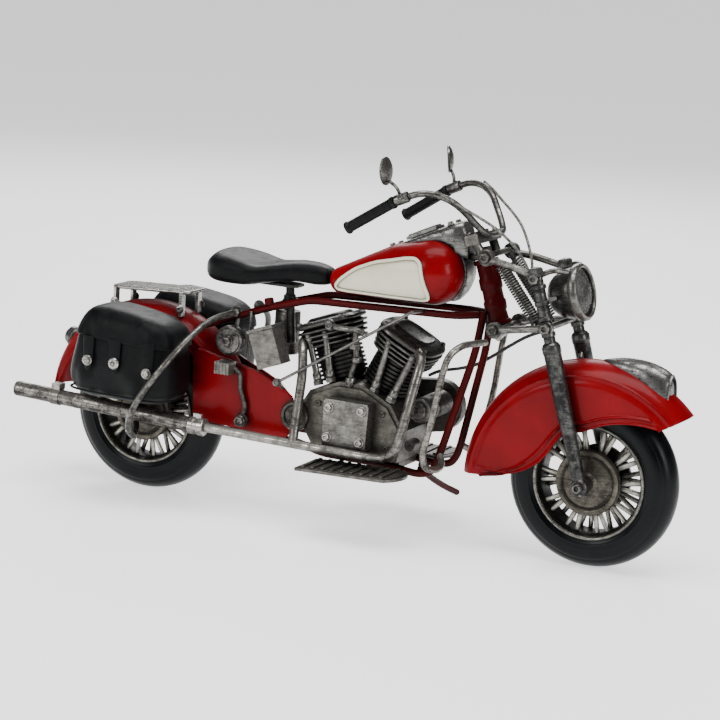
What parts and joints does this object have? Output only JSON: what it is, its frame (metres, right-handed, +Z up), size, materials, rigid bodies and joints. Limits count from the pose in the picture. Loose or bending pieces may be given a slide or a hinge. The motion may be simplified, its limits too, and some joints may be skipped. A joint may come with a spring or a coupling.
{
  "type": "toy motorcycle",
  "caption": "Tin display model of a vintage V-twin motorcycle with sprung fork, crowned fenders, saddlebags, turning bars, rolling wheels and a side stand.",
  "frame": {"origin": "centre of the bounding box, on the plane that the tyres stand on", "axes": "+X forward along the machine, +Y to the rider's left, +Z up"},
  "size_m": [0.3769, 0.1228, 0.2018],
  "materials": {
    "red_paint": "aged satin enamel with darker rubbed edges",
    "dark_red_paint": "dull dark red paint",
    "cream_paint": "semi-gloss cream enamel",
    "black_leather": "black, soft sheen",
    "tyre": "smooth black",
    "black_rubber": "matt black",
    "black_cable": "matt black sleeve",
    "lamp_glass": "slightly cloudy lens",
    "dark_metal": "dark antique metal",
    "aged_silver": "antique silver with dark patina"
  },
  "bodies": {
    "frame": {"head_tube": "dark_red_paint", "upper_rails": "dark_red_paint", "down_tubes": "dark_red_paint", "rear_stays": "dark_red_paint", "seat_post": "dark_metal", "rear_axle": "aged_silver", "rear_fender": "red_paint", "side_skirts": "red_paint", "luggage_rack": "aged_silver", "tail_lamp": "aged_silver", "saddlebag_right": "black_leather", "saddlebag_left": "black_leather", "bag_studs": "aged_silver", "bag_guards": "aged_silver", "silencer": "aged_silver", "exhaust_clamp": "aged_silver", "front_header": "aged_silver", "rear_header": "aged_silver", "seat": "black_leather", "battery_box": "aged_silver", "horn": "aged_silver", "crankcase": "dark_metal", "timing_cover": "aged_silver", "primary_cover": "aged_silver", "generator": "aged_silver", "rear_cylinder": "dark_metal", "front_cylinder": "dark_metal", "rear_head": "aged_silver", "front_head": "aged_silver", "pushrod_tubes": "aged_silver", "intake_pipe": "aged_silver", "fuel_tank": "red_paint", "tank_inserts": "cream_paint", "tank_console": "aged_silver", "shift_rod": "aged_silver", "footboards": "aged_silver", "crash_bars": "aged_silver", "brake_cable": "black_cable"},
    "fork": {"steering_yokes": "aged_silver", "fork_legs": "aged_silver", "fork_links": "aged_silver", "fork_springs": "dark_metal", "handlebar": "aged_silver", "grips": "black_rubber", "mirrors": "aged_silver", "headlamp_bowl": "aged_silver", "headlamp_rim": "aged_silver", "headlamp_lens": "lamp_glass", "front_fender": "red_paint", "fender_lamp": "aged_silver", "front_axle": "aged_silver", "bar_cables": "aged_silver"},
    "front_wheel": {"front_tyre": "tyre", "front_rim": "aged_silver", "front_hub": "aged_silver"},
    "rear_wheel": {"rear_tyre": "tyre", "rear_rim": "aged_silver", "rear_hub": "aged_silver"},
    "stand": {"side_stand": "dark_red_paint"},
    "kick": {"kick_lever": "aged_silver"}
  },
  "joints": [
    {"name": "steering", "type": "hinge", "parent": "frame", "child": "fork", "pos_m": [0.0772, 0, 0.134], "axis": [-0.2924, 0, 0.9563], "range_deg": [-25, 25], "deforming": ["brake_cable"]},
    {"name": "front_wheel_spin", "type": "hinge", "parent": "fork", "child": "front_wheel", "pos_m": [0.1397, 0, 0.045], "axis": [0, 1, 0], "continuous": true},
    {"name": "rear_wheel_spin", "type": "hinge", "parent": "frame", "child": "rear_wheel", "pos_m": [-0.1203, 0, 0.045], "axis": [0, 1, 0], "continuous": true},
    {"name": "stand_fold", "type": "hinge", "parent": "frame", "child": "stand", "pos_m": [0.0377, 0.017, 0.0326], "axis": [0, 0.4384, 0.8988], "range_deg": [0, 85]},
    {"name": "kick_swing", "type": "hinge", "parent": "frame", "child": "kick", "pos_m": [-0.0533, 0, 0.0507], "axis": [0, 1, 0], "range_deg": [-30, 0]}
  ]
}
